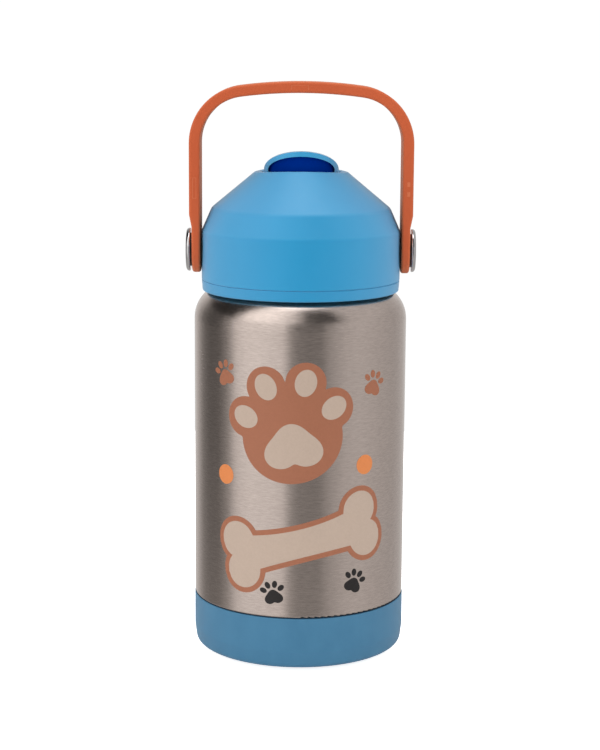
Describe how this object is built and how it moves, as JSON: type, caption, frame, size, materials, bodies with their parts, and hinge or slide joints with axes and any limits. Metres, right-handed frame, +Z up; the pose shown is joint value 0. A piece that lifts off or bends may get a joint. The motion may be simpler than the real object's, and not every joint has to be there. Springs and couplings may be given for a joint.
{
  "type": "kids water bottle",
  "caption": "Insulated steel bottle with a silicone boot, a screw lid, a flip-up drinking spout with straw and a swinging carry handle.",
  "frame": {"origin": "under the middle of the base, on the surface the bottle stands on", "axes": "+Z up along the bottle, -Y towards the front, where the spout's mouth points, +X to the right seen from the front"},
  "size_m": [0.0754, 0.0704, 0.1895],
  "materials": {
    "steel": "fine circumferential brushing",
    "liner": "satin, electropolished",
    "getter": "plain",
    "boot": "matt silicone",
    "lid": "satin moulded polypropylene",
    "insert": "satin moulded polypropylene",
    "silicone": "soft food-grade silicone",
    "pin": "ground stainless pin",
    "brass": "knurled threaded insert",
    "chrome": "polished",
    "washer": "black acetal",
    "handle": "satin moulded polypropylene",
    "spout": "satin moulded polypropylene",
    "mouth": "matt silicone",
    "straw": "translucent polypropylene",
    "bush": "natural acetal"
  },
  "bodies": {
    "bottle": {"outer_shell": "steel", "inner_liner": "liner", "base_plate": "liner", "getter_disc": "getter", "base_boot": "boot"},
    "lid_seal": {"lid_gasket": "silicone"},
    "lid": {"lid_shell": "lid", "lid_insert": "insert", "spout_seal": "silicone", "vent_valve": "silicone", "straw_adapter": "bush", "straw": "straw", "spout_pin_left": "pin", "spout_pin_right": "pin", "pivot_insert_left": "brass", "pivot_insert_right": "brass", "pivot_spacer_left": "washer", "pivot_spacer_right": "washer", "pivot_washer_left": "washer", "pivot_washer_right": "washer", "pivot_screw_left": "chrome", "pivot_screw_right": "chrome"},
    "handle": {"handle": "handle", "handle_bush_left": "bush", "handle_bush_right": "bush"},
    "spout": {"spout_shell": "spout", "mouthpiece": "mouth"}
  },
  "joints": [
    {"name": "lid_rise", "type": "slide", "parent": "bottle", "child": "lid_seal", "axis": [0, 0, 1], "range_m": [0, 0.0162]},
    {"name": "lid_unscrew", "type": "hinge", "parent": "lid_seal", "child": "lid", "pos_m": [0, 0, 0.13], "axis": [0, 0, 1], "range_deg": [0, 1296]},
    {"name": "handle_swing", "type": "hinge", "parent": "lid", "child": "handle", "pos_m": [0, 0, 0.1345], "axis": [1, 0, 0], "range_deg": [-126, 126]},
    {"name": "spout_flip", "type": "hinge", "parent": "lid", "child": "spout", "pos_m": [0, 0.008, 0.1572], "axis": [-1, 0, 0], "range_deg": [0, 85]}
  ],
  "couplings": [
    {"joint": "lid_rise", "follows": "lid_unscrew", "m_per_rad": 0.0007162}
  ]
}
